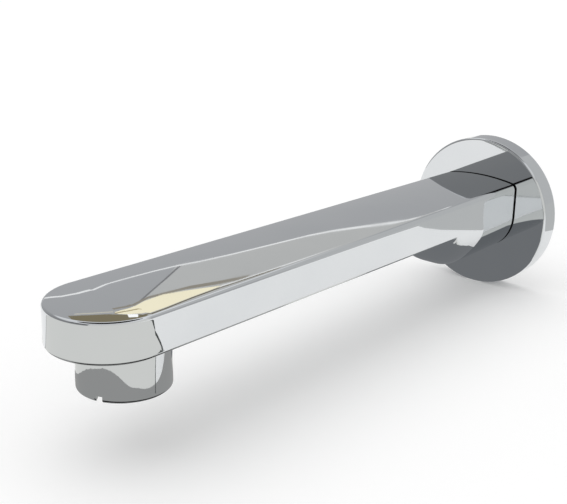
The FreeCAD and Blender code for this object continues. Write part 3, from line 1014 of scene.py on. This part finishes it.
def ribbon(points: Sequence[Point], width: float) -> tuple[Point, ...]:
    """Widens a line into the outline of a narrow band.

    Args:
        points: the line's own corners.
        width: the band's width, in the same unit.

    Returns:
        The outline, down one side and back along the other.
    """
    sides: list[list[Point]] = [[], []]
    for index, (x, y) in enumerate(points):
        ahead = points[min(index + 1, len(points) - 1)]
        behind = points[max(index - 1, 0)]
        run, rise = ahead[0] - behind[0], ahead[1] - behind[1]
        length = math.hypot(run, rise)
        for side, sign in zip(sides, (1, -1)):
            side.append((x - sign * rise / length * width / 2, y + sign * run / length * width / 2))
    return (*sides[0], *reversed(sides[1]))


def ring_points(centre: Point, radius: float, start: float, end: float, count: int) -> tuple[Point, ...]:
    """Points along a circle, from one angle to another in degrees."""
    turns = [math.radians(start + (end - start) * i / (count - 1)) for i in range(count)]
    return tuple((centre[0] + radius * math.cos(turn), centre[1] + radius * math.sin(turn)) for turn in turns)


def show_to_chrome_only(piece: Piece) -> None:
    """Hides a stage piece from all but mirror rays, so that it lights nothing and casts no shadow."""
    piece.visible_camera = piece.visible_diffuse = piece.visible_shadow = piece.visible_transmission = False


# Lines that several boards share: seams and the painted shadow's edge in millimetres, and the tent's edge in
# degrees.
NOSE_SEAM = ((48, -172), (54, -167), (62, -160), (70, -150), (75.5, -142.4), (78, -140.4), (81.8, -137.9),
             (86.5, -135), (92, -132.5), (97, -132))
LEFT_SEAM = ((-72, -192), (-88, -212), (-104, -226), (-125, -241), (-170, -266))
TENT_EDGE = ((-105, 8), (-112.3, 12), (-121, 18.3), (-123.8, 19.2), (-125.5, 18.7), (-127.3, 17.3),
             (-128.3, 16), (-128.8, 15.9), (-129.7, 15.8), (-131.1, 15.8), (-132.5, 16.1), (-134.1, 16.9),
             (-136.3, 17.6), (-139.4, 18.3), (-141.6, 18.8), (-143.6, 19.7), (-145.9, 21), (-148.4, 22.3),
             (-151.9, 23.8), (-155.3, 25.4), (-158, 26.9), (-168, 31.7))
PAINTED_SHADOW_EDGE = ((-59, -205), (-58, -221), (-54, -236), (-46, -250), (-34, -261), (-20, -268), (-9, -271),
            (4, -273), (16, -271), (27, -267), (36, -261), (44, -253), (49, -245), (53, -236), (56, -227),
            (59, -218), (61, -209), (61, -200), (60, -190), (58, -180), (55, -170), (50, -159), (43, -143))
# How far the floor cloths reach, in millimetres.
FAR_SIDE = 11000.0

# Each board is a painted reflection, and hangs or lies in front of the ones before it.
PAINTED_TENT = (
    PaintedReflection("front_floor_cloth", Reach.FLOOR, "#E8E8E5",
          (*NOSE_SEAM, (FAR_SIDE, -134), (FAR_SIDE, -FAR_SIDE), (-FAR_SIDE, -FAR_SIDE), (-FAR_SIDE, -6400),
           *reversed(LEFT_SEAM))),
    PaintedReflection("back_floor_cloth", Reach.FLOOR, "#CBCCCC",
          ((40, 64), (64, 56), (72, 49), (78, 44), (86, 41), (96, 43), (FAR_SIDE, 700),
           (FAR_SIDE, FAR_SIDE), (40, FAR_SIDE))),
    # Painted light: a bright board where the floor lies in the arm's shadow, so that the arm's lower edge
    # mirrors it bright.
    PaintedReflection("under_arm_painted_light", Reach.FLOOR, "#E8E8E5",
          ((-90, -185), (46, -150), (40, -134), (52, -90), (50, -30), (30, -5), (-90, 10))),
    # Painted shadow: a grey board under the nose that the chrome's underside mirrors, while the camera sees
    # the plain floor.
    PaintedReflection("nose_painted_shadow", Reach.FLOOR, "#A2A2A1",
          (*PAINTED_SHADOW_EDGE, (38, -128), (34, -112), (0, -112), (-30, -165), (-58, -185))),
    # Painted shadow: a darker board under the hub, mirrored in the hub's underside and the flange's low part.
    PaintedReflection("hub_painted_shadow", Reach.FLOOR, "#7B7D80",
          ((-34, -130), (-5, -130), (-5, -88), (10, -77), (17, -72), (36, -60), (35, -18), (33, -4),
           (28, 1), (-34, 1))),
    # Painted shade: a near-black ring under the nose, which the nose's lower edge mirrors as a black line.
    PaintedReflection("nose_ring_painted_shadow", Reach.FLOOR, "#1A1A1A",
          (*ring_points((0, -200), 46, -110, 60, 30), *ring_points((0, -200), 20, 60, -110, 30))),
    PaintedReflection("collar_seam", Reach.FLOOR, "#5E605F", ribbon(NOSE_SEAM[:5], 2.0)),
    PaintedReflection("nose_seam", Reach.FLOOR, "#565857",
          ((125, -141), (104, -137), (93, -133.8), (86.6, -135.4), (81.9, -138.2), (78.1, -140.7),
           (75.7, -142.7), (75.4, -142.1), (77.9, -140.1), (81.7, -137.5), (86.4, -134.5), (92, -131.3),
           (103, -130), (122, -123))),
    PaintedReflection("left_seam", Reach.FLOOR, "#9A9C9C", ribbon(LEFT_SEAM, 2.2)),
    PaintedReflection("upper_cloth", Reach.FAR, "#C9C9C8",
          (*TENT_EDGE[10:], (-168, 40), (-150, 40), (-136, 32), (-132.8, 29), (-132.8, 20))),
    PaintedReflection("corner_seam", Reach.FAR, "#8A8A8C",
          ribbon(((-132.8, 16.4), (-132.8, 20), (-132.6, 24.5)), 0.22)),
    PaintedReflection("tent_edge_at_nose", Reach.FAR, "#FFFFFF", ribbon(TENT_EDGE[:6], 0.7)),
    PaintedReflection("tent_edge", Reach.FAR, "#FFFFFF", ribbon(TENT_EDGE[5:], 0.45)),
    # These boards are painted reflections along the nose's top edge: painted shade, and painted highlights,
    # some brighter than white.
    PaintedReflection("mouth_shade", Reach.FAR, "#A09A8F",
          ribbon(((-129.4, 27.1), (-131.2, 26.2), (-133, 23.9), (-135.8, 24.3), (-138.5, 25.3),
                  (-141, 26)), 0.6)),
    PaintedReflection("mouth_glow", Reach.FAR, "#FFF6D8",
          ((-129.6, 28.4), (-130.6, 27.6), (-131.6, 26.8), (-133, 24.5), (-134.1, 24.2), (-135.7, 24.8),
           (-137.9, 25.7), (-139.4, 26.3), (-137.5, 26.8), (-136.2, 27.4), (-134.7, 28), (-133.1, 29),
           (-131.3, 29.4), (-130.1, 29.2)), 1.15),
    PaintedReflection("mouth_fold", Reach.FAR, "#B9A983",
          ribbon(((-129.6, 28.9), (-131.6, 27.9), (-133.4, 26.6)), 0.35)),
    PaintedReflection("brown_cloth", Reach.FAR, "#8A816A",
          ((-123.5, 28.3), (-126, 28.9), (-129, 29.2), (-131.3, 29.6), (-133.1, 29.4), (-134.4, 30),
           (-133, 34), (-123.5, 34))),
    PaintedReflection("mouth_rim", Reach.FAR, "#7E7664",
          ribbon(((-133.2, 30.2), (-134.8, 28.7), (-136.3, 28), (-137.6, 27.3), (-139.5, 26.8),
                  (-144, 26.8)), 0.6)),
    # Painted glint on the nose's top edge.
    PaintedReflection("mouth_painted_glint", Reach.FAR, "#FFFFFF",
          ((-131.3, 29.4), (-132.7, 29.3), (-132.9, 30.9), (-131.5, 30.6)), 1.3),
    PaintedReflection("mouth_light", Reach.FAR, "#FFFFFF", ribbon(((-139.2, 26.4), (-144, 26.3), (-150, 26)), 0.5)),
    PaintedReflection("cloth_hem", Reach.FAR, "#D9D5C8",
          ribbon(((-124.4, 27.9), (-126.5, 28.3), (-129.4, 28.3)), 0.4)),
    PaintedReflection("camera_side_cloth", Reach.FAR, "#E4E4E1",
          ((14, -1), (40, -1), (70, -1), (100, -1), (120, -1), (120, 36), (90, 36), (60, 36), (30, 36),
           (14, 36))),
    PaintedReflection("dark_overhead", Reach.FAR, "#303030", tuple((-180 + 30 * i, 62) for i in range(12))),
    PaintedReflection("dark_cloth", Reach.FAR, "#161616", ((-24, 27), (8, 27), (8, 38), (-24, 38))),
    PaintedReflection("back_cloth", Reach.FAR, "#C8C9CA",
          ((138, -1), (150, -1), (164, -1), (178, -1), (178, 55), (138, 55))),
)


@dataclass
class Studio:
    """A pale floor, soft light, a light tent painted as reflections for the chrome to show, and the camera.
    """

    floor_level: float = -29.55
    floor_side: float = 24000.0
    floor_glow: float = 0.16
    room_radius: float = 14000.0
    # The walls' level from one place along Y to another, as shares of the room's radius.
    wall_span: Point = (-0.7, 0.3)
    wall_levels: Point = (0.29, 0.48)
    # The heights between which the level rises towards the roof, and by how much.
    roof_span: Point = (0.6, 0.68)
    roof_rise: float = 0.45
    lamp_energy: float = 0.8
    lamp_spread: float = 70.0
    lamp_direction: tuple[float, float, float] = (0.25, 0.15, -1.0)
    world_low: float = 0.72
    world_high: float = 1.0
    camera_place: tuple[float, float, float] = (210.18, -375.40, 119.79)
    camera_azimuth: float = 40.362
    camera_elevation: float = 18.402
    camera_roll: float = 0.919
    focal_pixels: float = 1078.0
    picture_width: float = 567.0
    sensor_width: float = 36.0
    near_limit: float = 10.0

    def seen_directly(self, tree: Tree) -> Socket:
        """Tells what the eye meets from what only lights the object.

        Args:
            tree: the node tree that gets the test.

        Returns:
            One for rays of the camera, a mirror or glass, and nought for light on the object.
        """
        path = add_node(tree, "LightPath")
        seen = add_node(tree, "Math", {"operation": "MAXIMUM"},
                        {0: path.outputs["Is Camera Ray"], 1: path.outputs["Is Glossy Ray"]})
        met = add_node(tree, "Math", {"operation": "MAXIMUM"},
                       {0: seen, 1: path.outputs["Is Transmission Ray"]})
        return met.outputs["Value"]

    def build_floor(self) -> None:
        """A wide pale floor just under the flange."""
        deselect()
        bpy.ops.mesh.primitive_plane_add(size=self.floor_side * MM, location=(0, 0, self.floor_level * MM))
        floor = bpy.context.object
        floor.name = "floor"
        material, tree, surface = new_material("pale_floor")
        pale = add_node(tree, "BsdfDiffuse", {"Color": linear("#F2F2F2")})
        lift = add_node(tree, "Math", {"operation": "MULTIPLY", 1: self.floor_glow},
                        {0: self.seen_directly(tree)})
        glow = add_node(tree, "Emission", {"Color": linear("#FFFFFF")}, {"Strength": lift})
        both = add_node(tree, "AddShader", None, {0: pale, 1: glow})
        tree.links.new(both.outputs["Shader"], surface)
        dress(floor, material)

    def build_room(self) -> None:
        """A painted reflection of the tent's walls, which only the chrome shows: grey, darker towards the
        front and pale overhead.
        """
        deselect()
        bpy.ops.mesh.primitive_uv_sphere_add(segments=96, ring_count=48, radius=self.room_radius * MM)
        room = bpy.context.object
        room.name = "room_painted_reflection"
        bpy.ops.object.shade_smooth()
        material, tree, surface = new_material("room_painted_reflection")
        place = add_node(tree, "TexCoord").outputs["Object"]
        unit = add_node(tree, "VectorMath", {"operation": "NORMALIZE"}, {0: place})
        parts = add_node(tree, "SeparateXYZ", None, {0: unit})
        depth = add_node(tree, "MapRange", {"From Min": self.wall_span[0], "From Max": self.wall_span[1],
                                            "To Min": self.wall_levels[0], "To Max": self.wall_levels[1]},
                         {"Value": parts.outputs["Y"]})
        height = add_node(tree, "MapRange", {"From Min": self.roof_span[0], "From Max": self.roof_span[1],
                                             "To Min": 0.0, "To Max": self.roof_rise},
                          {"Value": parts.outputs["Z"]})
        level = add_node(tree, "Math", {"operation": "ADD"}, {0: depth, 1: height})
        glow = add_node(tree, "Emission", {"Color": linear("#FBFCFF")}, {"Strength": level})
        tree.links.new(glow.outputs["Emission"], surface)
        dress(room, material)
        show_to_chrome_only(room)

    def build_light(self) -> None:
        """A large soft lamp from above and an even white world."""
        lamp = bpy.data.lights.new("soft_lamp", "SUN")
        lamp.energy = self.lamp_energy
        lamp.angle = math.radians(self.lamp_spread)
        holder = bpy.data.objects.new("soft_lamp", lamp)
        holder.rotation_euler = Vector(self.lamp_direction).to_track_quat("-Z", "Y").to_euler()
        holder.visible_glossy = False
        bpy.context.scene.collection.objects.link(holder)
        world = bpy.data.worlds.new("even_white")
        bpy.context.scene.world = world
        world.use_nodes = True
        tree = world.node_tree
        tree.nodes.clear()
        level = add_node(tree, "MapRange", {"To Min": self.world_low, "To Max": self.world_high},
                         {"Value": self.seen_directly(tree)})
        sky = add_node(tree, "Background", {"Color": linear("#FFFFFF")}, {"Strength": level})
        output = add_node(tree, "OutputWorld")
        tree.links.new(sky.outputs["Background"], output.inputs["Surface"])

    def build_camera(self) -> None:
        """The camera at the photograph's angle, distance and lens."""
        data = bpy.data.cameras.new("camera")
        data.sensor_width = self.sensor_width
        data.lens = self.focal_pixels / self.picture_width * self.sensor_width
        data.clip_start = self.near_limit * MM
        camera = bpy.data.objects.new("camera", data)
        turn = (Matrix.Rotation(math.radians(self.camera_azimuth), 4, "Z")
                @ Matrix.Rotation(math.radians(90.0 - self.camera_elevation), 4, "X")
                @ Matrix.Rotation(math.radians(self.camera_roll), 4, "Z"))
        camera.matrix_world = Matrix.Translation(Vector(self.camera_place) * MM) @ turn
        bpy.context.scene.collection.objects.link(camera)
        bpy.context.scene.camera = camera

    def build(self) -> None:
        """Sets the stage and the plain colour transform."""
        self.build_floor()
        self.build_room()
        for lift, board in enumerate(PAINTED_TENT, start=1):
            board.build(self.floor_level, lift)
        self.build_light()
        self.build_camera()
        bpy.context.scene.view_settings.view_transform = "Standard"


def main() -> None:
    """Builds every piece in order, dresses the solids that stay and sets the stage."""
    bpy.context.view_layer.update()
    chrome = PolishedChrome("polished_chrome_plate").make()
    pressed = PolishedChrome("polished_chrome_on_pressed_steel", wave_length=38.0).make()
    brass = CastBrass().make()
    # A near-black copy of the brass is painted shade on the shoulder, where the joint's shadow falls.
    joint_painted_shade = CastBrass("shoulder_painted_shade_in_the_joint", "#2B2A29", "#1B1A1A", mark_spacing=0.9,
                           roughness=0.7).make()
    rubber = Moulded("nitrile_rubber", "#2A2A2B", "#1E1E1F", roughness=0.55).make()
    white = Moulded("moulded_white_acetal", "#E6E6E2", "#D4D4CF", roughness=0.38).make()
    grey = Moulded("moulded_grey_acetal", "#8E9092", "#7C7E80", roughness=0.42).make()
    wire = WovenWire().make()
    finishes = {
        "spout_body": chrome, "wall_flange": pressed, "flange_ring": rubber, "aerator_shell": chrome,
        "aerator_gasket": rubber, "insert_housing": grey, "jet_disc": white, "filter_screen": white,
        "outlet_mesh": wire, "outlet_grid": white,
    }
    for node, material in finishes.items():
        dress(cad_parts[node], material)
    Casting(chrome, brass, joint_painted_shade).build()
    WallFlange(pressed).build()
    Aerator(chrome, white).build()
    Studio().build()


if __name__ == "__main__":
    main()
